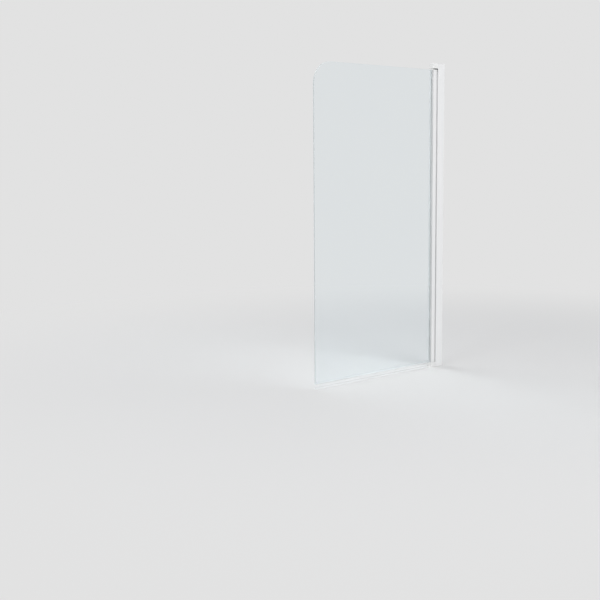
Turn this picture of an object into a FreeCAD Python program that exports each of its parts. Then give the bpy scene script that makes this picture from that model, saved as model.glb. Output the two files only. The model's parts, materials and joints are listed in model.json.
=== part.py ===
import FreeCAD, Part
import math
import os
import re
import Sketcher

# A bath screen: one rounded pane of glass in a white swing profile, which turns between two hinge
# blocks on a white wall post. The origin is on the wall, at the foot of the post, in the middle of
# its thickness. +X points into the wall, +Y over the bath and +Z up, so the pane runs towards -X.

doc = FreeCAD.newDocument("BathScreen")

# Driving dimensions in millimetres.
sizes = {
    # the whole screen
    "screen_width": 800,
    "post_height": 1430,
    "post_depth": 28,
    # wall channel, a U with its back on the wall
    "channel_reach": 45,
    "channel_wall": 2,
    "channel_back": 2.5,
    "wall_hole_radius": 3.25,
    "wall_hole_inset": 115,
    "wall_hole_count": 4,
    "cap_thickness": 3,
    "cap_lip": 1.5,
    "cap_lip_drop": 8,
    "cap_lip_inset": 3,
    # hinge post, a box tube that slides in the channel to take up an uneven wall
    "slide_fit": 0.3,
    "wall_adjustment": 8.5,
    "tube_wall": 1.8,
    "tube_front_wall": 4,
    "tube_recess": 0.5,
    # clearances
    "running_fit": 0.06,
    "assembly_fit": 0.1,
    "plug_fit": 0.3,
    # draught seal in the front of the hinge post
    "groove_mouth": 3,
    "groove_lip": 1.2,
    "groove_width": 5,
    "groove_depth": 1.6,
    "bulb_width": 4.8,
    "bulb_clearance": 0.3,
    # room around the swinging leaf; the head's gap lets the leaf be lifted off its pins
    "nose_gap": 1,
    "head_gap": 6,
    "foot_gap": 1.2,
    # hinge blocks, brackets and pins, the same at both ends
    "block_height": 23,
    "block_joint": 0.5,
    "block_skin": 2.5,
    "block_roof": 5.9,
    "block_round": 3,
    "arm_width": 16,
    "arm_margin": 4,
    "plug_length": 40,
    "pin_radius": 3,
    "pin_engagement": 18,
    "pin_hole_clearance": 0.3,
    "washer_radius": 9,
    "washer_play": 0.2,
    # screws through a block's outer end into the bracket, one on each side of the pin
    "block_screw_offset": 10,
    "block_screw_radius": 1.75,
    "block_screw_grip": 8,
    "block_head_radius": 3.4,
    "block_head_height": 2.4,
    "block_head_sink": 3.6,
    "block_socket_radius": 1.5,
    # screws that fix the hinge post in the channel, under caps on the bath side
    "adjust_screw_setback": 28,
    "adjust_screw_count": 3,
    "adjust_screw_radius": 2,
    "adjust_screw_length": 10,
    "adjust_head_radius": 4,
    "adjust_head_height": 2.2,
    "adjust_socket_radius": 1.6,
    "cover_cap_radius": 6.5,
    "cover_cap_skin": 1.2,
    "cover_cap_round": 1,
    "socket_depth": 1.4,
    # swing profile, with a round nose about the pivot and a slot for the pane
    "nose_swell": 0.8,
    "profile_wall": 2,
    "slot_depth": 8.2,
    "slot_width": 11,
    "slot_wall": 1.8,
    "web_thickness": 1.6,
    "lid_thickness": 2,
    "lid_plug_length": 22,
    "lid_plug_fit": 0.15,
    "lid_plug_wall": 1.2,
    "bush_wall": 1.3,
    "bush_length": 20,
    # pane
    "glass_thickness": 6,
    "glass_corner": 95,
    "glass_arris": 0.5,
    "pad_thickness": 0.9,
    "pad_length": 40,
    "pad_count": 3,
    # glazing gaskets
    "gasket_flange": 0.8,
    "front_lip_margin": 0.4,
    "back_lip": 1.5,
    "gasket_inset": 1.5,
    # wiper seal under the pane
    "wiper_start": 1.5,
    "wiper_end": 2,
    "wiper_grip": 10,
    "wiper_wall": 1.1,
    "wiper_base": 2,
    "wiper_stem": 1.4,
    "wiper_fork": 9,
    "wiper_spread": 5.5,
    "wiper_lift": 0.5,
}

sheet = doc.addObject("Spreadsheet::Sheet", "Sizes")
for row, (alias, number) in enumerate(sizes.items(), start=1):
    sheet.set(f"A{row}", alias)
    sheet.set(f"B{row}", str(number))
    sheet.setAlias(f"B{row}", alias)
doc.recompute()

# Places worked out from the driving dimensions, as expressions over the sheet's names.
half_depth = "(post_depth / 2)"
leg_inside = "(post_depth / 2 - channel_wall)"
wall_hole_pitch = "((post_height - 2 * wall_hole_inset) / (wall_hole_count - 1))"
tube_half = "(post_depth / 2 - channel_wall - slide_fit)"
tube_front = "(channel_reach - tube_recess)"
tube_back = "(channel_back + wall_adjustment)"
bore_half = f"({tube_half} - tube_wall)"
bore_front = f"({tube_front} - tube_front_wall)"
bore_back = f"({tube_back} + tube_wall)"
nose_radius = f"({half_depth} + nose_swell)"
pivot = f"(channel_reach + nose_gap + {nose_radius})"
block_face = "(post_height - block_height)"
leaf_bottom = "(block_height + foot_gap)"
leaf_top = f"({block_face} - head_gap)"
leaf_height = f"({leaf_top} - {leaf_bottom})"
arm_bottom = f"({block_face} + block_skin + assembly_fit)"
arm_top = "(post_height - block_roof - assembly_fit)"
arm_end = f"({pivot} + block_screw_offset + arm_margin)"
screw_seat = "(post_height - block_head_sink)"
chamber_radius = "(post_depth / 2 - profile_wall)"
bush_radius = "(pin_radius + running_fit + bush_wall)"
web_face = f"({pivot} + {bush_radius} + lid_plug_wall + lid_plug_fit)"
slot_bottom = f"({web_face} + web_thickness)"
profile_end = f"({slot_bottom} + slot_depth)"
block_end = f"({profile_end} + gasket_flange)"
glass_half = "(glass_thickness / 2)"
glass_edge = f"({slot_bottom} + pad_thickness + assembly_fit)"
adjust_inset = "(block_height + plug_length / 2)"
adjust_pitch = f"((post_height - 2 * {adjust_inset}) / (adjust_screw_count - 1))"


def bound(expression):
    return re.sub(r"\b([a-z]\w*)\b(?!\()", r"Sizes.\1", expression)


def number_of(expression):
    result = sheet.evalExpression(bound(expression))
    return float(getattr(result, "Value", result))


def new_body(node):
    body = doc.addObject("PartDesign::Body", node)
    body.Label = node
    return body


def new_sketch(body, plane, lift="0"):
    sketch = body.newObject("Sketcher::SketchObject", f"{body.Name}_sketch")
    support = next(item for item in body.Origin.OriginFeatures if item.Role == plane)
    sketch.AttachmentSupport = (support, [""])
    sketch.MapMode = "FlatFace"
    sketch.setExpression("AttachmentOffset.Base.z", bound(lift))
    return sketch


def pin_down(sketch, kind, geometry, vertex, expression):
    constraint = Sketcher.Constraint(kind, -1, 1, geometry, vertex, number_of(expression))
    index = sketch.addConstraint(constraint)
    sketch.setExpression(f"Constraints[{index}]", bound(expression))


# A closed outline through the corners, each an (x, y) pair of expressions. A third entry makes the
# side after that corner an anticlockwise arc and gives its centre's x.
def outline(sketch, corners):
    first = sketch.GeometryCount
    points = [FreeCAD.Vector(number_of(corner[0]), number_of(corner[1])) for corner in corners]
    ends = points[1:] + points[:1]
    for side, (corner, start, end) in enumerate(zip(corners, points, ends)):
        if len(corner) == 2:
            sketch.addGeometry(Part.LineSegment(start, end))
            continue
        middle, chord = (start + end) / 2, end - start
        centre_x = number_of(corner[2])
        centre = FreeCAD.Vector(centre_x, middle.y - (centre_x - middle.x) * chord.x / chord.y)
        circle = Part.Circle(centre, FreeCAD.Vector(0, 0, 1), (start - centre).Length)
        angles = [math.atan2(point.y - centre.y, point.x - centre.x) for point in (start, end)]
        sketch.addGeometry(Part.ArcOfCircle(circle, *angles))
        pin_down(sketch, "DistanceX", first + side, 3, corner[2])
    for side, corner in enumerate(corners):
        following = first + (side + 1) % len(corners)
        sketch.addConstraint(Sketcher.Constraint("Coincident", first + side, 2, following, 1))
        pin_down(sketch, "DistanceX", first + side, 1, corner[0])
        pin_down(sketch, "DistanceY", first + side, 1, corner[1])


def rectangle(sketch, left, right, low, high):
    outline(sketch, [(left, low), (right, low), (right, high), (left, high)])


def disc(sketch, x, y, radius):
    centre = FreeCAD.Vector(number_of(x), number_of(y))
    circle = Part.Circle(centre, FreeCAD.Vector(0, 0, 1), number_of(radius))
    index = sketch.addGeometry(circle)
    pin_down(sketch, "DistanceX", index, 3, x)
    pin_down(sketch, "DistanceY", index, 3, y)
    size = sketch.addConstraint(Sketcher.Constraint("Radius", index, number_of(radius)))
    sketch.setExpression(f"Constraints[{size}]", bound(radius))


def pad(sketch, length, both_sides=False, backwards=False):
    body = sketch.getParentGeoFeatureGroup()
    feature = body.newObject("PartDesign::Pad", f"{body.Name}_pad")
    feature.Profile = sketch
    feature.Midplane = both_sides
    feature.Reversed = backwards
    feature.setExpression("Length", bound(length))
    return feature


# A pocket cuts against its sketch's normal, or along it where it is turned round.
def pocket(sketch, depth, along_normal=False):
    body = sketch.getParentGeoFeatureGroup()
    feature = body.newObject("PartDesign::Pocket", f"{body.Name}_pocket")
    feature.Profile = sketch
    feature.Reversed = along_normal
    feature.setExpression("Length", bound(depth))
    return feature


# Copies of a feature up the height of its sketch's plane.
def repeat_upwards(feature, count, pitch):
    body = feature.getParentGeoFeatureGroup()
    pattern = body.newObject("PartDesign::LinearPattern", f"{body.Name}_row")
    pattern.Originals = [feature]
    pattern.Direction = (feature.Profile[0], ["V_Axis"])
    pattern.setExpression("Occurrences", bound(count))
    pattern.setExpression("Length", bound(f"({count} - 1) * {pitch}"))
    body.Tip = pattern


def cylinder(name, radius, height, lift="0"):
    solid = doc.addObject("Part::Cylinder", name)
    solid.setExpression("Radius", bound(radius))
    solid.setExpression("Height", bound(height))
    solid.setExpression("Placement.Base.z", bound(lift))
    return solid


def hexagon(name, radius, height, lift):
    solid = doc.addObject("Part::Prism", name)
    solid.Polygon = 6
    solid.setExpression("Circumradius", bound(radius))
    solid.setExpression("Height", bound(height))
    solid.setExpression("Placement.Base.z", bound(lift))
    return solid


def combined(kind, name, base, tool):
    result = doc.addObject(kind, name)
    result.Base = base
    result.Tool = tool
    return result


def grouped(node, pieces):
    group = doc.addObject("Part::Compound", node)
    group.Label = node
    group.Links = pieces
    return group


def place(piece, x, y, z, tilt=0):
    turn = FreeCAD.Rotation(FreeCAD.Vector(1, 0, 0), tilt)
    piece.Placement = FreeCAD.Placement(FreeCAD.Vector(), turn)
    for axis, expression in zip("xyz", (x, y, z)):
        piece.setExpression(f"Placement.Base.{axis}", bound(expression))
    return piece


# The foot of the screen uses the pieces of its head, turned half a turn about the X direction. The
# sum is that of a piece's heights at the head and at the foot.
def turn_over(piece, sum_of_heights, x="0", height="0"):
    return place(piece, x, "0", f"{sum_of_heights} - ({height})", 180)


# A screw along its own Z, with its head above the origin and a hexagon socket in the head.
def screw(name, radius, length, head_radius, head_height, socket_radius):
    shank = cylinder(f"{name}_shank", radius, length, f"-({length})")
    head = cylinder(f"{name}_head", head_radius, head_height)
    body = combined("Part::Fuse", f"{name}_body", shank, head)
    socket = hexagon(f"{name}_socket", socket_radius, "2 * socket_depth", f"{head_height} - socket_depth")
    return combined("Part::Cut", name, body, socket)


def make_wall_channel():
    body = new_body("wall_channel")
    section = new_sketch(body, "XY_Plane")
    outline(section, [
        ("0", f"-{half_depth}"),
        ("0", half_depth),
        ("-channel_reach", half_depth),
        ("-channel_reach", leg_inside),
        ("-channel_back", leg_inside),
        ("-channel_back", f"-{leg_inside}"),
        ("-channel_reach", f"-{leg_inside}"),
        ("-channel_reach", f"-{half_depth}"),
    ])
    pad(section, "post_height - cap_thickness")
    wall_hole = new_sketch(body, "YZ_Plane")
    disc(wall_hole, "0", "wall_hole_inset", "wall_hole_radius")
    repeat_upwards(pocket(wall_hole, "channel_back"), "wall_hole_count", wall_hole_pitch)
    screw_hole = new_sketch(body, "XZ_Plane", f"-{half_depth}")
    disc(screw_hole, "-adjust_screw_setback", adjust_inset, "adjust_screw_radius + plug_fit")
    holes = pocket(screw_hole, "channel_wall", along_normal=True)
    repeat_upwards(holes, "adjust_screw_count", adjust_pitch)
    return body


def make_channel_cap():
    body = new_body("channel_cap")
    plate = new_sketch(body, "XY_Plane", "post_height - cap_thickness")
    rectangle(plate, "-channel_reach", "0", f"-{half_depth}", half_depth)
    pad(plate, "cap_thickness")
    lips = new_sketch(body, "XY_Plane", "post_height - cap_thickness")
    lip_outside = f"({leg_inside} - slide_fit)"
    lip_inside = f"({leg_inside} - slide_fit - cap_lip)"
    ends = ("cap_lip_inset - channel_reach", "-channel_back - cap_lip_inset")
    rectangle(lips, *ends, lip_inside, lip_outside)
    rectangle(lips, *ends, f"-{lip_outside}", f"-{lip_inside}")
    pad(lips, "cap_lip_drop", backwards=True)
    return body


def make_hinge_post():
    body = new_body("hinge_post")
    section = new_sketch(body, "XY_Plane", "block_height")
    lip = f"(groove_lip - {tube_front})"
    floor = f"(groove_lip + groove_depth - {tube_front})"
    outline(section, [
        (f"-{tube_back}", f"-{tube_half}"),
        (f"-{tube_back}", tube_half),
        (f"-{tube_front}", tube_half),
        (f"-{tube_front}", "groove_mouth / 2"),
        (lip, "groove_mouth / 2"),
        (lip, "groove_width / 2"),
        (floor, "groove_width / 2"),
        (floor, "-groove_width / 2"),
        (lip, "-groove_width / 2"),
        (lip, "-groove_mouth / 2"),
        (f"-{tube_front}", "-groove_mouth / 2"),
        (f"-{tube_front}", f"-{tube_half}"),
    ])
    rectangle(section, f"-{bore_front}", f"-{bore_back}", f"-{bore_half}", bore_half)
    pad(section, f"{leaf_top} - block_height")
    screw_hole = new_sketch(body, "XZ_Plane", f"-{tube_half}")
    disc(screw_hole, "-adjust_screw_setback", adjust_inset, "adjust_screw_radius + assembly_fit")
    holes = pocket(screw_hole, "tube_wall", along_normal=True)
    repeat_upwards(holes, "adjust_screw_count", adjust_pitch)
    return body


def make_post_seal():
    body = new_body("post_seal")
    section = new_sketch(body, "XY_Plane", "block_height")
    head_back = f"(groove_lip + groove_depth - assembly_fit - {tube_front})"
    head_front = f"(groove_lip + assembly_fit - {tube_front})"
    neck_half = "(groove_mouth / 2 - assembly_fit)"
    head_half = "(groove_width / 2 - assembly_fit)"
    bulb_back = f"(-{tube_front} - assembly_fit)"
    bulb_reach = "(tube_recess + nose_gap - assembly_fit - bulb_clearance)"
    bulb_radius = f"((bulb_width ^ 2 / 4 + {bulb_reach} ^ 2) / (2 * {bulb_reach}))"
    outline(section, [
        (head_back, f"-{head_half}"),
        (head_back, head_half),
        (head_front, head_half),
        (head_front, neck_half),
        (bulb_back, neck_half),
        (bulb_back, "bulb_width / 2", f"{bulb_back} - {bulb_reach} + {bulb_radius}"),
        (bulb_back, "-bulb_width / 2"),
        (bulb_back, f"-{neck_half}"),
        (head_front, f"-{neck_half}"),
        (head_front, f"-{head_half}"),
    ])
    pad(section, f"{leaf_top} - block_height")
    return body


def make_bracket(node):
    body = new_body(node)
    arm = new_sketch(body, "XY_Plane", arm_bottom)
    arm_back = f"(plug_fit + {bore_back})"
    rectangle(arm, f"-{arm_end}", f"-{arm_back}", "-arm_width / 2", "arm_width / 2")
    pad(arm, f"{arm_top} - {arm_bottom}")
    plug = new_sketch(body, "XY_Plane", arm_bottom)
    plug_half = f"({bore_half} - plug_fit)"
    rectangle(plug, f"plug_fit - {bore_front}", f"-{arm_back}", f"-{plug_half}", plug_half)
    pad(plug, f"{arm_bottom} - {block_face} + plug_length", backwards=True)
    pin_bore = new_sketch(body, "XY_Plane", arm_top)
    disc(pin_bore, f"-{pivot}", "0", "pin_radius")
    pocket(pin_bore, f"{arm_top} - {arm_bottom}")
    screw_holes = new_sketch(body, "XY_Plane", arm_top)
    for offset in ("block_screw_offset", "-block_screw_offset"):
        disc(screw_holes, f"{offset} - {pivot}", "0", "block_screw_radius + assembly_fit")
    pocket(screw_holes, "block_screw_grip + assembly_fit")
    cross_hole = new_sketch(body, "XZ_Plane", plug_half)
    disc(cross_hole, "-adjust_screw_setback", f"post_height - {adjust_inset}",
         "adjust_screw_radius + assembly_fit")
    pocket(cross_hole, f"2 * {plug_half}")
    return body


def make_block(node):
    body = new_body(node)
    wall_side = "(-channel_reach - block_joint)"
    round_start = f"(block_round - {block_end})"
    round_side = f"({half_depth} - block_round)"
    shell = new_sketch(body, "XY_Plane", block_face)
    outline(shell, [
        (wall_side, f"-{half_depth}"),
        (wall_side, half_depth),
        (round_start, half_depth, round_start),
        (f"-{block_end}", round_side),
        (f"-{block_end}", f"-{round_side}", round_start),
        (round_start, f"-{half_depth}"),
    ])
    pad(shell, "block_height")
    hollow = new_sketch(body, "XY_Plane", "post_height - block_roof")
    hollow_half = "(arm_width / 2 + assembly_fit)"
    rectangle(hollow, f"-{arm_end} - assembly_fit", wall_side, f"-{hollow_half}", hollow_half)
    pocket(hollow, "block_height - block_roof - block_skin")
    pin_hole = new_sketch(body, "XY_Plane", f"{block_face} + block_skin")
    disc(pin_hole, f"-{pivot}", "0", "pin_radius + pin_hole_clearance")
    pocket(pin_hole, "block_skin")
    head_seats = new_sketch(body, "XY_Plane", "post_height")
    screw_ways = new_sketch(body, "XY_Plane", screw_seat)
    for offset in ("block_screw_offset", "-block_screw_offset"):
        disc(head_seats, f"{offset} - {pivot}", "0", "block_head_radius + assembly_fit")
        disc(screw_ways, f"{offset} - {pivot}", "0", "block_screw_radius + assembly_fit")
    pocket(head_seats, "block_head_sink")
    pocket(screw_ways, "block_roof - block_head_sink")
    return body


def make_pivot_pin(node, at_foot=False):
    pin = cylinder(node, "pin_radius", f"{arm_top} - {leaf_top} + pin_engagement")
    pin.Label = node
    pin_end = f"{leaf_top} - pin_engagement"
    if at_foot:
        return turn_over(pin, "post_height", f"-{pivot}", pin_end)
    return place(pin, f"-{pivot}", "0", pin_end)


def make_thrust_washer():
    height = "foot_gap - washer_play"
    ring = cylinder("washer_ring", "washer_radius", height)
    bore = cylinder("washer_bore", "pin_radius + pin_hole_clearance", height)
    washer = combined("Part::Cut", "thrust_washer", ring, bore)
    washer.Label = "thrust_washer"
    return place(washer, f"-{pivot}", "0", "block_height")


def make_block_screws():
    length = f"{screw_seat} - {arm_top} + block_screw_grip"
    screws = []
    for side, offset in (("wall", "block_screw_offset"), ("pane", "-block_screw_offset")):
        x = f"{offset} - {pivot}"
        sized = ("block_screw_radius", length, "block_head_radius", "block_head_height",
                 "block_socket_radius")
        screws.append(place(screw(f"head_{side}_screw", *sized), x, "0", screw_seat))
        screws.append(turn_over(screw(f"foot_{side}_screw", *sized), "post_height", x, screw_seat))
    return grouped("block_screws", screws)


def make_adjust_screws():
    screws = []
    for index in range(round(number_of("adjust_screw_count"))):
        piece = screw(f"adjust_screw_{index}", "adjust_screw_radius", "adjust_screw_length",
                      "adjust_head_radius", "adjust_head_height", "adjust_socket_radius")
        height = f"{adjust_inset} + {index} * {adjust_pitch}"
        screws.append(place(piece, "-adjust_screw_setback", half_depth, height, -90))
    return grouped("adjust_screws", screws)


# Snap caps, hollow over the screw heads and rounded at their rims.
def make_screw_caps():
    caps = []
    hollow_height = "(adjust_head_height + assembly_fit)"
    for index in range(round(number_of("adjust_screw_count"))):
        dome = cylinder(f"cap_dome_{index}", "cover_cap_radius", f"{hollow_height} + cover_cap_skin")
        hollow = cylinder(f"cap_hollow_{index}", "adjust_head_radius + assembly_fit", hollow_height)
        shell = combined("Part::Cut", f"cap_shell_{index}", dome, hollow)
        doc.recompute()
        rim = next(
            number for number, edge in enumerate(shell.Shape.Edges, start=1)
            if len(edge.Vertexes) == 1
            and edge.BoundBox.ZMin > number_of(hollow_height) + number_of("cover_cap_skin") / 2
        )
        cap = doc.addObject("Part::Fillet", f"screw_cap_{index}")
        cap.Base = shell
        cap.Edges = [(rim, number_of("cover_cap_round"), number_of("cover_cap_round"))]
        height = f"{adjust_inset} + {index} * {adjust_pitch}"
        caps.append(place(cap, "-adjust_screw_setback", half_depth, height, -90))
    return grouped("screw_caps", caps)


# The profile's outside, with the pane's slot open towards -X.
def profile_outline(sketch):
    nose_start = f"(sqrt({nose_radius} ^ 2 - {half_depth} ^ 2) - {pivot})"
    outline(sketch, [
        (nose_start, f"-{half_depth}", f"-{pivot}"),
        (nose_start, half_depth),
        (f"-{profile_end}", half_depth),
        (f"-{profile_end}", "slot_width / 2"),
        (f"-{slot_bottom}", "slot_width / 2"),
        (f"-{slot_bottom}", "-slot_width / 2"),
        (f"-{profile_end}", "-slot_width / 2"),
        (f"-{profile_end}", f"-{half_depth}"),
    ])


# The round chamber about the pivot, closed by the web that backs the slot.
def chamber_outline(sketch, gap):
    radius = f"({chamber_radius} - {gap})"
    face = f"({web_face} - {gap})"
    chord_half = f"sqrt({radius} ^ 2 - ({face} - {pivot}) ^ 2)"
    outline(sketch, [
        (f"-{face}", f"-{chord_half}", f"-{pivot}"),
        (f"-{face}", chord_half),
    ])


def make_swing_profile():
    body = new_body("swing_profile")
    section = new_sketch(body, "XY_Plane", f"{leaf_bottom} + lid_thickness")
    profile_outline(section)
    chamber_outline(section, "0")
    side_inside = "(slot_width / 2 + slot_wall)"
    side_outside = f"({half_depth} - profile_wall)"
    ends = (f"profile_wall - {profile_end}", f"-{web_face} - profile_wall")
    rectangle(section, *ends, side_inside, side_outside)
    rectangle(section, *ends, f"-{side_outside}", f"-{side_inside}")
    pad(section, f"{leaf_height} - 2 * lid_thickness")
    return body


def make_end_plug(node):
    body = new_body(node)
    lid = new_sketch(body, "XY_Plane", f"{leaf_top} - lid_thickness")
    profile_outline(lid)
    pad(lid, "lid_thickness")
    plug = new_sketch(body, "XY_Plane", f"{leaf_top} - lid_thickness")
    chamber_outline(plug, "lid_plug_fit")
    pad(plug, "lid_plug_length", backwards=True)
    bush_bore = new_sketch(body, "XY_Plane", leaf_top)
    disc(bush_bore, f"-{pivot}", "0", bush_radius)
    pocket(bush_bore, "lid_thickness + lid_plug_length")
    return body


def make_pivot_bush(node, height):
    outside = cylinder(f"{node}_outside", bush_radius, "bush_length")
    bore = cylinder(f"{node}_bore", "pin_radius + running_fit", "bush_length")
    bush = combined("Part::Cut", node, outside, bore)
    bush.Label = node
    return place(bush, f"-{pivot}", "0", height)


def make_glass_panel():
    body = new_body("glass_panel")
    face = new_sketch(body, "XZ_Plane")
    outline(face, [
        ("-screen_width", leaf_bottom),
        (f"-{glass_edge}", leaf_bottom),
        (f"-{glass_edge}", leaf_top),
        ("glass_corner - screen_width", leaf_top, "glass_corner - screen_width"),
        ("-screen_width", f"{leaf_top} - glass_corner"),
    ])
    sheet_of_glass = pad(face, "glass_thickness", both_sides=True)
    doc.recompute()
    rims = [
        f"Edge{number}" for number, edge in enumerate(sheet_of_glass.Shape.Edges, start=1)
        if edge.BoundBox.YLength < number_of("glass_arris")
    ]
    arris = body.newObject("PartDesign::Chamfer", "ground_edge")
    arris.Base = (sheet_of_glass, rims)
    arris.setExpression("Size", bound("glass_arris"))
    return body


def make_glass_pads():
    pads = []
    pitch = f"(({leaf_height} - pad_length) / pad_count)"
    for index in range(round(number_of("pad_count"))):
        piece = doc.addObject("Part::Box", f"glass_pad_{index}")
        piece.setExpression("Length", bound("pad_thickness"))
        piece.setExpression("Width", bound("slot_width - 2 * assembly_fit"))
        piece.setExpression("Height", bound("pad_length"))
        height = f"{leaf_bottom} + ({index} + 0.5) * {pitch}"
        corner = f"-{slot_bottom} - assembly_fit / 2 - pad_thickness"
        pads.append(place(piece, corner, "assembly_fit - slot_width / 2", height))
    return grouped("glass_pads", pads)


# A wedge in the slot beside the glass, with a lip over the metal's end.
def make_gasket(node, lip_end):
    body = new_body(node)
    section = new_sketch(body, "XY_Plane", leaf_bottom)
    in_slot = "(assembly_fit - slot_width / 2)"
    on_glass = f"(-{glass_half} - assembly_fit / 2)"
    outline(section, [
        (f"-{profile_end} - gasket_flange", f"-{lip_end}"),
        (f"-{profile_end}", f"-{lip_end}"),
        (f"-{profile_end}", in_slot),
        (f"-{slot_bottom} - gasket_inset", in_slot),
        (f"-{slot_bottom} - gasket_inset", on_glass),
        (f"-{profile_end} - gasket_flange", on_glass),
    ])
    pad(section, leaf_height)
    return body


# A clear strip that grips the lower edge of the pane and ends in two wiping fins.
def make_bottom_seal():
    body = new_body("bottom_seal")
    block_corner = f"sqrt(({block_end} - {pivot} - block_round) ^ 2 + ({half_depth} - block_round) ^ 2)"
    start = f"({pivot} + {block_corner} + block_round + wiper_start)"
    section = new_sketch(body, "YZ_Plane", f"-{start}")
    inside = f"({glass_half} + assembly_fit / 2)"
    outside = f"({inside} + wiper_wall)"
    stem = "(wiper_stem / 2)"
    grip_top = f"({leaf_bottom} + wiper_grip)"
    seat = f"({leaf_bottom} - assembly_fit / 2)"
    base = f"({seat} - wiper_base)"
    fin_inside = "(wiper_spread - wiper_stem)"
    outline(section, [
        (outside, grip_top),
        (inside, grip_top),
        (inside, seat),
        (f"-{inside}", seat),
        (f"-{inside}", grip_top),
        (f"-{outside}", grip_top),
        (f"-{outside}", base),
        (f"-{stem}", base),
        (f"-{stem}", "wiper_fork"),
        ("-wiper_spread", "wiper_lift"),
        (f"-{fin_inside}", "wiper_lift"),
        ("0", "wiper_fork - 1.5 * wiper_stem"),
        (fin_inside, "wiper_lift"),
        ("wiper_spread", "wiper_lift"),
        (stem, "wiper_fork"),
        (stem, base),
        (outside, base),
    ])
    pad(section, f"screen_width - wiper_end - {start}", backwards=True)
    return body


nodes = [
    make_wall_channel(),
    make_channel_cap(),
    make_hinge_post(),
    make_post_seal(),
    make_block_screws(),
    make_adjust_screws(),
    make_screw_caps(),
    make_pivot_pin("top_pivot_pin"),
    make_pivot_pin("bottom_pivot_pin", at_foot=True),
    make_thrust_washer(),
    make_swing_profile(),
    make_pivot_bush("top_pivot_bush", f"{leaf_top} - bush_length"),
    make_pivot_bush("bottom_pivot_bush", leaf_bottom),
    make_glass_panel(),
    make_glass_pads(),
    make_bottom_seal(),
    make_bracket("top_bracket"),
    make_block("top_hinge_block"),
    make_end_plug("top_end_plug"),
    make_gasket("front_gasket", f"({half_depth} - front_lip_margin)"),
    turn_over(make_bracket("bottom_bracket"), "post_height"),
    turn_over(make_block("bottom_hinge_block"), "post_height"),
    turn_over(make_end_plug("bottom_end_plug"), f"{leaf_bottom} + {leaf_top}"),
    turn_over(make_gasket("back_gasket", "(slot_width / 2 + back_lip)"), f"{leaf_bottom} + {leaf_top}"),
]
doc.recompute()

failed = [item.Name for item in doc.Objects if {"Invalid", "Error"} & set(item.State)]
if failed:
    raise RuntimeError(f"these objects failed: {failed}")
for node in nodes:
    if node.Shape.isNull() or not node.Shape.isValid() or not node.Shape.Solids:
        raise RuntimeError(f"{node.Label} has no sound shape")

os.makedirs("parts", exist_ok=True)
for node in nodes:
    node.Shape.exportStep(f"parts/{node.Label}.step")
    box = node.Shape.BoundBox
    print(f"{node.Label}: {len(node.Shape.Solids)} solid(s), {node.Shape.Volume / 1000:.2f} cm3, "
          f"x {box.XMin:.2f} to {box.XMax:.2f}, y {box.YMin:.2f} to {box.YMax:.2f}, "
          f"z {box.ZMin:.2f} to {box.ZMax:.2f}")
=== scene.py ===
import json
import math

import bmesh
import bpy
from mathutils import Matrix, Vector


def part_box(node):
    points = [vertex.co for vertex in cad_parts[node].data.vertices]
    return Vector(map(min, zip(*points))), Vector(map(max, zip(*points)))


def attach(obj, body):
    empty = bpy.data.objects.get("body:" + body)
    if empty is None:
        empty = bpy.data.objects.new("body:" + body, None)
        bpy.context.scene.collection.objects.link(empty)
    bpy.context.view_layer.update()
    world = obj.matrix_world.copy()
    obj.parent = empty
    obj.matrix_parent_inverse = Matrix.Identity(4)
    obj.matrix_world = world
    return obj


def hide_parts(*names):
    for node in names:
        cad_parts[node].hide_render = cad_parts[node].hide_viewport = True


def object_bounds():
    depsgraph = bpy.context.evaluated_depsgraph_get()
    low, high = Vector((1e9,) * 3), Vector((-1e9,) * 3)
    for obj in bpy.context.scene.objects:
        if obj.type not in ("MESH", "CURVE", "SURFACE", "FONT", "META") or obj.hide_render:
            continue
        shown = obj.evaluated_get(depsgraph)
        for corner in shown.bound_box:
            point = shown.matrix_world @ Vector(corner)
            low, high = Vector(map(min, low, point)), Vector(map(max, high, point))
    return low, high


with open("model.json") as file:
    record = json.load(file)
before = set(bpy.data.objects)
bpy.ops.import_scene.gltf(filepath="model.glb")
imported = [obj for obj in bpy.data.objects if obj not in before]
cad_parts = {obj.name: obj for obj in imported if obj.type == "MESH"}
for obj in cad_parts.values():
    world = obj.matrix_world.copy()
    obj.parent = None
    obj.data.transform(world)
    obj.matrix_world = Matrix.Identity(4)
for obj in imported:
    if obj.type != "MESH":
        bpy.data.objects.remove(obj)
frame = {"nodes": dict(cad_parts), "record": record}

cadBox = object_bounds()
scene = bpy.context.scene
cadNodes = frame["nodes"]
print("frame loaded with", len(cadNodes), "nodes")


# Shader groups that several finishes share. Each puts out only what changes over the surface.
def newGroup(name, inputs, outputs):
    tree = bpy.data.node_groups.new(name, "ShaderNodeTree")
    for label, kind, value in inputs:
        tree.interface.new_socket(label, in_out="INPUT", socket_type=kind).default_value = value
    for label, kind in outputs:
        tree.interface.new_socket(label, in_out="OUTPUT", socket_type=kind)
    return tree, tree.nodes.new("NodeGroupInput"), tree.nodes.new("NodeGroupOutput")


def addNoise(tree, vector, detail=2.0, roughness=0.5):
    noise = tree.nodes.new("ShaderNodeTexNoise")
    noise.inputs["Scale"].default_value = 1.0
    noise.inputs["Detail"].default_value = detail
    noise.inputs["Roughness"].default_value = roughness
    tree.links.new(vector, noise.inputs["Vector"])
    return noise


def scaledObjectSpace(tree, scale):
    place = tree.nodes.new("ShaderNodeTexCoord")
    product = tree.nodes.new("ShaderNodeVectorMath")
    product.operation = "MULTIPLY"
    tree.links.new(place.outputs["Object"], product.inputs[0])
    tree.links.new(scale, product.inputs[1])
    return product.outputs["Vector"]


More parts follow.
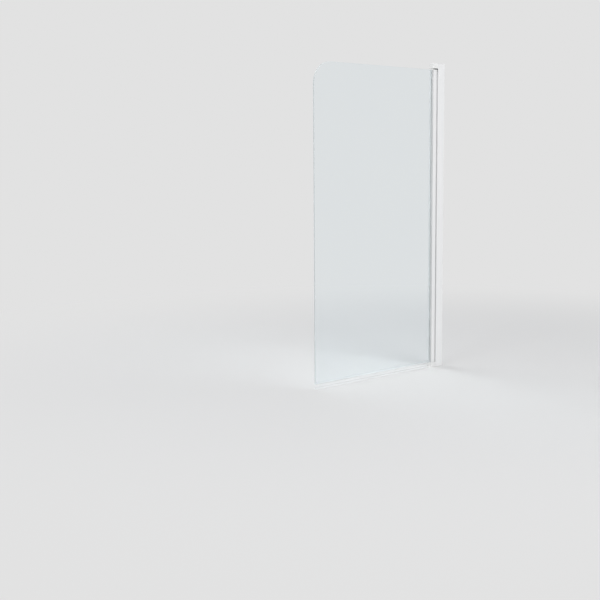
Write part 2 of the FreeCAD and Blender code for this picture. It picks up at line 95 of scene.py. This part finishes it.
def mapRange(tree, value, low, high, lowFrom=0.3, highFrom=0.7):
    node = tree.nodes.new("ShaderNodeMapRange")
    node.inputs["From Min"].default_value = lowFrom
    node.inputs["From Max"].default_value = highFrom
    tree.links.new(value, node.inputs["Value"])
    for socket, source in (("To Min", low), ("To Max", high)):
        if isinstance(source, (int, float)):
            node.inputs[socket].default_value = source
        else:
            tree.links.new(source, node.inputs[socket])
    return node.outputs["Result"]


def mixShaders(tree, share, first, second, output):
    # share 0 gives the first shader, 1 the second
    mix = tree.nodes.new("ShaderNodeMixShader")
    for place, source in enumerate((share, first, second)):
        tree.links.new(source, mix.inputs[place])
    tree.links.new(mix.outputs[0], tree.nodes[output].inputs["Surface"])


def combine(tree, operation, first, second):
    node = tree.nodes.new("ShaderNodeMath")
    node.operation = operation
    tree.links.new(first, node.inputs[0])
    tree.links.new(second, node.inputs[1])
    return node.outputs[0]


def makeReliefGroup():
    # the skin of a finish: a coarse wave under a fine grain, both per metre and by direction
    tree, given, result = newGroup(
        "surfaceRelief",
        [("Wave", "NodeSocketVector", (300.0, 300.0, 300.0)),
         ("Grain", "NodeSocketVector", (2000.0, 2000.0, 2000.0)),
         ("Grain Share", "NodeSocketFloat", 0.4)],
        [("Height", "NodeSocketFloat")],
    )
    wave = addNoise(tree, scaledObjectSpace(tree, given.outputs["Wave"]), detail=1.0)
    grain = addNoise(tree, scaledObjectSpace(tree, given.outputs["Grain"]), detail=3.0)
    blend = tree.nodes.new("ShaderNodeMix")
    tree.links.new(given.outputs["Grain Share"], blend.inputs["Factor"])
    tree.links.new(wave.outputs["Fac"], blend.inputs["A"])
    tree.links.new(grain.outputs["Fac"], blend.inputs["B"])
    tree.links.new(blend.outputs["Result"], result.inputs["Height"])
    return tree


def makeToneGroup():
    # slow change between two tones, and between two polishes where hands and water have been
    tree, given, result = newGroup(
        "toneAndPolish",
        [("Tone", "NodeSocketColor", (0.8, 0.8, 0.8, 1.0)),
         ("Other Tone", "NodeSocketColor", (0.8, 0.8, 0.8, 1.0)),
         ("Patches", "NodeSocketVector", (6.0, 6.0, 6.0)),
         ("Polish", "NodeSocketFloat", 0.3),
         ("Dull", "NodeSocketFloat", 0.4),
         ("Wipes", "NodeSocketVector", (30.0, 30.0, 8.0))],
        [("Color", "NodeSocketColor"), ("Roughness", "NodeSocketFloat")],
    )
    patches = addNoise(tree, scaledObjectSpace(tree, given.outputs["Patches"]), detail=3.0)
    share = mapRange(tree, patches.outputs["Fac"], 0.0, 1.0)
    mix = tree.nodes.new("ShaderNodeMix")
    mix.data_type = "RGBA"
    tree.links.new(share, mix.inputs["Factor"])
    tree.links.new(given.outputs["Tone"], mix.inputs["A"])
    tree.links.new(given.outputs["Other Tone"], mix.inputs["B"])
    tree.links.new(mix.outputs["Result"], result.inputs["Color"])
    wipeSpace = scaledObjectSpace(tree, given.outputs["Wipes"])
    wipes = addNoise(tree, wipeSpace, detail=5.0, roughness=0.65)
    polish = mapRange(tree, wipes.outputs["Fac"], given.outputs["Polish"], given.outputs["Dull"])
    tree.links.new(polish, result.inputs["Roughness"])
    return tree


reliefGroup = makeReliefGroup()
toneGroup = makeToneGroup()
print("shader groups made")


def placeGroup(tree, group, values):
    node = tree.nodes.new("ShaderNodeGroup")
    node.node_tree = group
    for label, value in values.items():
        node.inputs[label].default_value = value
    return node


def rgba(colour):
    return (*colour, 1.0)


def letLampsThrough(tree, shader, tint):
    # a ray that looks for a lamp passes straight through, so what lies behind clear stuff is lit
    path = tree.nodes.new("ShaderNodeLightPath")
    clear = tree.nodes.new("ShaderNodeBsdfTransparent")
    clear.inputs["Color"].default_value = rgba(tint)
    mixShaders(
        tree, path.outputs["Is Shadow Ray"], shader.outputs[0], clear.outputs[0], "Material Output",
    )


# A finish is a Principled shader fed by both groups. Fixed values stay on its own sockets.
def newFinish(name, settings):
    material = bpy.data.materials.new(name)
    material.use_nodes = True
    tree = material.node_tree
    shader = tree.nodes["Principled BSDF"]
    tone = placeGroup(tree, toneGroup, {
        "Tone": rgba(settings["tone"]),
        "Other Tone": rgba(settings["otherTone"]),
        "Patches": settings["patches"],
        "Polish": settings["polish"],
        "Dull": settings["dull"],
        "Wipes": settings["wipes"],
    })
    tree.links.new(tone.outputs["Color"], shader.inputs["Base Color"])
    tree.links.new(tone.outputs["Roughness"], shader.inputs["Roughness"])
    relief = placeGroup(tree, reliefGroup, {
        "Wave": settings["wave"],
        "Grain": settings["grain"],
        "Grain Share": settings["grainShare"],
    })
    bump = tree.nodes.new("ShaderNodeBump")
    bump.inputs["Strength"].default_value = settings["bumpStrength"]
    bump.inputs["Distance"].default_value = settings["bumpDepth"]
    tree.links.new(relief.outputs["Height"], bump.inputs["Height"])
    tree.links.new(bump.outputs["Normal"], shader.inputs["Normal"])
    for socket, value in settings["shader"].items():
        shader.inputs[socket].default_value = value
    if "lampTint" in settings:
        letLampsThrough(tree, shader, settings["lampTint"])
    return material


# Patches, wipes, wave and grain are noise scales per metre along X, Y and Z. Relief is in metres.
powderCoat = {
    "tone": (0.84, 0.84, 0.84),
    "otherTone": (0.825, 0.828, 0.832),
    "patches": (4.0, 4.0, 1.5),
    "polish": 0.30,
    "dull": 0.38,
    "wipes": (40.0, 40.0, 9.0),
    "wave": (700.0, 700.0, 700.0),  # orange peel, about 1.4 mm across
    "grain": (4000.0, 4000.0, 4000.0),
    "grainShare": 0.25,
    "bumpStrength": 0.5,
    "bumpDepth": 0.00008,
    "shader": {"IOR": 1.5},
}
mouldedPlastic = {
    "tone": (0.84, 0.84, 0.835),
    "otherTone": (0.83, 0.83, 0.82),
    "patches": (9.0, 9.0, 9.0),
    "polish": 0.34,
    "dull": 0.42,
    "wipes": (60.0, 60.0, 30.0),
    "wave": (900.0, 900.0, 900.0),
    "grain": (6000.0, 6000.0, 6000.0),
    "grainShare": 0.7,
    "bumpStrength": 0.4,
    "bumpDepth": 0.00004,
    "shader": {
        "IOR": 1.49,
        "Subsurface Weight": 0.08,
        "Subsurface Radius": (0.004, 0.004, 0.004),
        "Subsurface Scale": 0.5,
    },
}
glazingRubber = {
    "tone": (0.62, 0.625, 0.63),
    "otherTone": (0.65, 0.655, 0.66),
    "patches": (20.0, 20.0, 5.0),
    "polish": 0.5,
    "dull": 0.64,
    "wipes": (60.0, 60.0, 12.0),
    "wave": (1200.0, 1200.0, 90.0),  # faint draw lines along the extrusion
    "grain": (5000.0, 5000.0, 1500.0),
    "grainShare": 0.5,
    "bumpStrength": 0.5,
    "bumpDepth": 0.00005,
    "shader": {"IOR": 1.5},
}
paleRubber = {
    "tone": (0.80, 0.80, 0.79),
    "otherTone": (0.77, 0.77, 0.765),
    "patches": (30.0, 30.0, 6.0),
    "polish": 0.48,
    "dull": 0.6,
    "wipes": (80.0, 80.0, 12.0),
    "wave": (1200.0, 1200.0, 90.0),
    "grain": (5000.0, 5000.0, 1500.0),
    "grainShare": 0.5,
    "bumpStrength": 0.4,
    "bumpDepth": 0.00004,
    "shader": {"IOR": 1.5},
}
castMetal = {
    "tone": (0.46, 0.47, 0.48),
    "otherTone": (0.38, 0.39, 0.40),
    "patches": (60.0, 60.0, 60.0),
    "polish": 0.42,
    "dull": 0.6,
    "wipes": (90.0, 90.0, 90.0),
    "wave": (500.0, 500.0, 500.0),
    "grain": (2500.0, 2500.0, 2500.0),
    "grainShare": 0.6,
    "bumpStrength": 0.8,
    "bumpDepth": 0.00015,
    "shader": {"Metallic": 1.0},
}
brightSteel = {
    "tone": (0.62, 0.62, 0.61),
    "otherTone": (0.54, 0.54, 0.53),
    "patches": (120.0, 120.0, 120.0),
    "polish": 0.2,
    "dull": 0.32,
    "wipes": (900.0, 900.0, 200.0),
    "wave": (400.0, 400.0, 400.0),
    "grain": (3500.0, 3500.0, 700.0),
    "grainShare": 0.8,
    "bumpStrength": 0.3,
    "bumpDepth": 0.00003,
    "shader": {"Metallic": 1.0},
}
bearingPlastic = {
    "tone": (0.74, 0.73, 0.70),
    "otherTone": (0.70, 0.69, 0.66),
    "patches": (40.0, 40.0, 40.0),
    "polish": 0.4,
    "dull": 0.52,
    "wipes": (200.0, 200.0, 200.0),
    "wave": (900.0, 900.0, 900.0),
    "grain": (4000.0, 4000.0, 4000.0),
    "grainShare": 0.6,
    "bumpStrength": 0.4,
    "bumpDepth": 0.00004,
    "shader": {
        "IOR": 1.48,
        "Subsurface Weight": 0.15,
        "Subsurface Radius": (0.003, 0.003, 0.003),
        "Subsurface Scale": 0.5,
    },
}
clearVinyl = {
    "tone": (0.99, 0.995, 1.0),
    "otherTone": (0.98, 0.985, 0.99),
    "patches": (10.0, 60.0, 60.0),
    "polish": 0.12,
    "dull": 0.26,
    "wipes": (6.0, 120.0, 120.0),
    "wave": (3.0, 300.0, 300.0),  # draw lines along the strip
    "grain": (10.0, 1500.0, 1500.0),
    "grainShare": 0.3,
    "bumpStrength": 0.12,
    "bumpDepth": 0.00003,
    "lampTint": (0.93, 0.94, 0.94),
    "shader": {"IOR": 1.16, "Transmission Weight": 0.97},
}
toughenedGlass = {
    "tone": (0.945, 0.985, 1.0),
    "otherTone": (0.938, 0.979, 0.998),
    "patches": (3.0, 3.0, 3.0),
    "polish": 0.0,
    "dull": 0.012,
    "wipes": (9.0, 9.0, 4.0),
    "wave": (5.0, 5.0, 28.0),  # roller waves from toughening, about 35 mm apart up the pane
    "grain": (40.0, 40.0, 40.0),
    "grainShare": 0.05,
    "bumpStrength": 0.15,
    "bumpDepth": 0.0003,
    "lampTint": (0.935, 0.955, 0.955),
    "shader": {"IOR": 1.52, "Transmission Weight": 1.0},
}
groundEdge = {
    "tone": (0.86, 0.91, 0.925),
    "otherTone": (0.83, 0.89, 0.91),
    "patches": (30.0, 30.0, 30.0),
    "polish": 0.3,
    "dull": 0.5,
    "wipes": (300.0, 300.0, 300.0),
    "wave": (900.0, 900.0, 900.0),
    "grain": (5000.0, 5000.0, 5000.0),
    "grainShare": 0.7,
    "bumpStrength": 0.4,
    "bumpDepth": 0.00004,
    "lampTint": (0.8, 0.84, 0.85),
    "shader": {"IOR": 1.4, "Transmission Weight": 0.3},
}

finishes = {
    "white_aluminium": newFinish("powderCoat", powderCoat),
    "white_plastic": newFinish("mouldedPlastic", mouldedPlastic),
    "grey_rubber": newFinish("glazingRubber", glazingRubber),
    "pale_rubber": newFinish("paleRubber", paleRubber),
    "cast_zinc": newFinish("castMetal", castMetal),
    "stainless_steel": newFinish("brightSteel", brightSteel),
    "bearing_plastic": newFinish("bearingPlastic", bearingPlastic),
    "clear_vinyl": newFinish("clearVinyl", clearVinyl),
    "clear_glass": newFinish("toughenedGlass", toughenedGlass),
}
slotOf = {node: entry.data.materials[0].name.split(".")[0] for node, entry in cadNodes.items()}
for node, entry in cadNodes.items():
    entry.material_slots[0].link = "OBJECT"
    entry.material_slots[0].material = finishes[slotOf[node]]
print("finishes given to", len(slotOf), "nodes")


def addPiece(name, form, body, materials):
    mesh = bpy.data.meshes.new(name)
    form.to_mesh(mesh)
    form.free()
    for material in materials:
        mesh.materials.append(material)
    piece = bpy.data.objects.new(name, mesh)
    scene.collection.objects.link(piece)
    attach(piece, body)
    return piece


# Every real edge is a little round. Radii in metres, by node. The bottom seal and the screw caps
# keep the edges of their solids, and the pane has its own below.
edgeRounds = {
    "wall_channel": 0.0004,
    "hinge_post": 0.0003,
    "swing_profile": 0.0004,
    "channel_cap": 0.0005,
    "top_hinge_block": 0.0005,
    "bottom_hinge_block": 0.0005,
    "top_end_plug": 0.0002,
    "bottom_end_plug": 0.0002,
    "front_gasket": 0.0003,
    "back_gasket": 0.0003,
    "top_bracket": 0.0004,
    "bottom_bracket": 0.0004,
    "block_screws": 0.00015,
    "adjust_screws": 0.00015,
    "thrust_washer": 0.00015,
    "top_pivot_pin": 0.0003,
    "bottom_pivot_pin": 0.0003,
    "top_pivot_bush": 0.0002,
    "bottom_pivot_bush": 0.0002,
    "glass_pads": 0.0003,
    "post_seal": 0.0001,
}
edgeSettings = {
    "segments": 2,
    "sharperThan": math.radians(35.0),
    "weld": 0.000002,
    "flatWithin": math.radians(0.5),
}
bodyNodes = frame["record"]["behaviour"]["bodies"]
circular = 0.5  # the bevel profile of a round edge


def bodyOf(node):
    return next(name for name, members in bodyNodes.items() if node in members)


def softenedCopy(node, radius):
    form = bmesh.new()
    form.from_mesh(cadNodes[node].data)
    bmesh.ops.remove_doubles(form, verts=form.verts, dist=edgeSettings["weld"])
    bmesh.ops.dissolve_limit(
        form, angle_limit=edgeSettings["flatWithin"], verts=form.verts, edges=form.edges,
    )
    sharp = [edge for edge in form.edges if edge.calc_face_angle(0.0) > edgeSettings["sharperThan"]]
    bmesh.ops.bevel(
        form, geom=sharp, offset=radius, segments=edgeSettings["segments"], profile=circular,
        affect="EDGES", material=-1,
    )
    for face in form.faces:
        face.material_index = 0
    slot = slotOf[node]
    piece = addPiece(f"{node}_rounded", form, bodyOf(node), [finishes[slot]])
    piece.data.set_sharp_from_angle(angle=edgeSettings["sharperThan"])
    normals = piece.modifiers.new("faceNormals", "WEIGHTED_NORMAL")
    normals.keep_sharp = True
    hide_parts(node)


for node, radius in edgeRounds.items():
    softenedCopy(node, radius)
print("edges rounded on", len(edgeRounds), "nodes")


# The pane is a plate with one corner rounded in its plane and a ground rim all round.
pane = {
    "cornerRadius": 0.095,
    "cornerSegments": 40,
    "arris": 0.0005,
    "arrisSegments": 3,
    "facesFront": 0.5,  # a face whose normal has more of Y than this is a side of the plate
    "flatFace": 0.999,  # and less than this is the ground rim with its arrises
    "smoothUpTo": math.radians(50.0),
}


def makePane():
    low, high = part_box("glass_panel")
    size = high - low
    middle = (low + high) / 2
    form = bmesh.new()
    bmesh.ops.create_grid(form, x_segments=1, y_segments=1, size=0.5)  # 1 by 1, from its middle
    bmesh.ops.scale(form, vec=(size.x, size.z, 1.0), verts=form.verts)
    upright = Matrix.Rotation(math.radians(90.0), 3, "X")
    bmesh.ops.rotate(form, cent=(0.0, 0.0, 0.0), matrix=upright, verts=form.verts)
    bmesh.ops.translate(form, vec=(middle.x, low.y, middle.z), verts=form.verts)
    corner = min(form.verts, key=lambda vertex: vertex.co.x - vertex.co.z)
    bmesh.ops.bevel(
        form, geom=[corner], offset=pane["cornerRadius"], segments=pane["cornerSegments"],
        profile=circular, affect="VERTICES", material=-1,
    )
    grown = bmesh.ops.extrude_face_region(form, geom=form.faces[:])["geom"]
    moved = [item for item in grown if isinstance(item, bmesh.types.BMVert)]
    bmesh.ops.translate(form, vec=(0.0, size.y, 0.0), verts=moved)
    bmesh.ops.recalc_face_normals(form, faces=form.faces)
    rims = [
        edge for edge in form.edges
        if len({abs(face.normal.y) > pane["facesFront"] for face in edge.link_faces}) == 2
    ]
    bmesh.ops.bevel(
        form, geom=rims, offset=pane["arris"], segments=pane["arrisSegments"], profile=circular,
        affect="EDGES", material=-1,
    )
    for face in form.faces:
        face.material_index = int(abs(face.normal.y) < pane["flatFace"])
    materials = [finishes["clear_glass"], newFinish("groundEdge", groundEdge)]
    piece = addPiece("clear_pane", form, "leaf", materials)
    piece.data.set_sharp_from_angle(angle=pane["smoothUpTo"])
    for polygon in piece.data.polygons:
        polygon.use_smooth = polygon.material_index == 1
    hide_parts("glass_panel")


makePane()
print("pane made")


studio = {
    "backColour": (0.76, 0.76, 0.76),
    "skyColour": (0.975, 0.985, 1.0),
    "skyStrength": 0.66,
    "floorColour": (0.71, 0.71, 0.71),
    "floorRoughness": 0.9,
    "floorRadius": 12.0,
    "floorCorners": 96,
    "fadeStart": 0.9,  # from here the floor turns into the background, in metres
    "fadeEnd": 3.2,
}


def seenByEye(tree):
    # 1 for camera, mirror and see-through rays, 0 for the rays that carry light
    path = tree.nodes.new("ShaderNodeLightPath")
    cameraOrMirror = combine(
        tree, "MAXIMUM", path.outputs["Is Camera Ray"], path.outputs["Is Glossy Ray"],
    )
    return combine(tree, "MAXIMUM", cameraOrMirror, path.outputs["Is Transmission Ray"])


def makeWorld():
    world = bpy.data.worlds.new("studioWorld")
    world.use_nodes = True
    scene.world = world
    tree = world.node_tree
    light = tree.nodes["Background"]
    light.inputs["Color"].default_value = rgba(studio["skyColour"])
    light.inputs["Strength"].default_value = studio["skyStrength"]
    seen = tree.nodes.new("ShaderNodeBackground")
    seen.inputs["Color"].default_value = rgba(studio["backColour"])
    mixShaders(tree, seenByEye(tree), light.outputs[0], seen.outputs[0], "World Output")


def makeFloor():
    form = bmesh.new()
    bmesh.ops.create_circle(
        form, cap_ends=True, radius=studio["floorRadius"], segments=studio["floorCorners"],
    )
    mesh = bpy.data.meshes.new("floor")
    form.to_mesh(mesh)
    form.free()
    floor = bpy.data.objects.new("floor", mesh)
    scene.collection.objects.link(floor)
    material = bpy.data.materials.new("paleFloor")
    material.use_nodes = True
    tree = material.node_tree
    shader = tree.nodes["Principled BSDF"]
    shader.inputs["Base Color"].default_value = rgba(studio["floorColour"])
    shader.inputs["Roughness"].default_value = studio["floorRoughness"]
    shader.inputs["Specular IOR Level"].default_value = 0.0
    place = tree.nodes.new("ShaderNodeTexCoord")
    reach = tree.nodes.new("ShaderNodeVectorMath")
    reach.operation = "LENGTH"
    tree.links.new(place.outputs["Object"], reach.inputs[0])
    fade = tree.nodes.new("ShaderNodeMapRange")
    fade.interpolation_type = "SMOOTHSTEP"
    fade.inputs["From Min"].default_value = studio["fadeStart"]
    fade.inputs["From Max"].default_value = studio["fadeEnd"]
    tree.links.new(reach.outputs["Value"], fade.inputs["Value"])
    share = combine(tree, "MULTIPLY", fade.outputs["Result"], seenByEye(tree))
    distant = tree.nodes.new("ShaderNodeEmission")
    distant.inputs["Color"].default_value = rgba(studio["backColour"])
    mixShaders(tree, share, shader.outputs[0], distant.outputs[0], "Material Output")
    mesh.materials.append(material)


lamps = {
    "frontLight": {"place": (-0.8, -6.4, 5.0), "size": 4.0, "power": 190.0},
    "sideLight": {"place": (-7.0, -1.8, 3.6), "size": 2.5, "power": 95.0},
    "backLight": {"place": (-1.0, 5.6, 5.0), "size": 4.0, "power": 122.0},
}


def makeLamps():
    middle = (cadBox[0] + cadBox[1]) / 2
    for name, lamp in lamps.items():
        data = bpy.data.lights.new(name, "AREA")
        data.size = lamp["size"]
        data.energy = lamp["power"]
        item = bpy.data.objects.new(name, data)
        item.location = lamp["place"]
        aim = middle - Vector(lamp["place"])
        item.rotation_euler = aim.to_track_quat("-Z", "Y").to_euler()
        item.visible_camera = False
        scene.collection.objects.link(item)


# Where the photograph was taken from, fitted to the pane's and the post's corners.
view = {
    "place": (-3.7265, -3.3707, 1.0048),
    "turn": -43.46,
    "tilt": -6.844,
    "sensor": 36.0,
    "lens": 63.1,
    "shift": (-0.10, -0.03),
}


def makeCamera():
    data = bpy.data.cameras.new("photoCamera")
    data.lens = view["lens"]
    data.sensor_width = view["sensor"]
    data.shift_x, data.shift_y = view["shift"]
    camera = bpy.data.objects.new("photoCamera", data)
    camera.location = view["place"]
    camera.rotation_euler = (math.radians(90.0 + view["tilt"]), 0.0, math.radians(view["turn"]))
    scene.collection.objects.link(camera)
    bpy.context.scene.camera = camera


makeWorld()
makeFloor()
makeLamps()
makeCamera()
scene.view_settings.view_transform = "Standard"
print("studio and camera made")
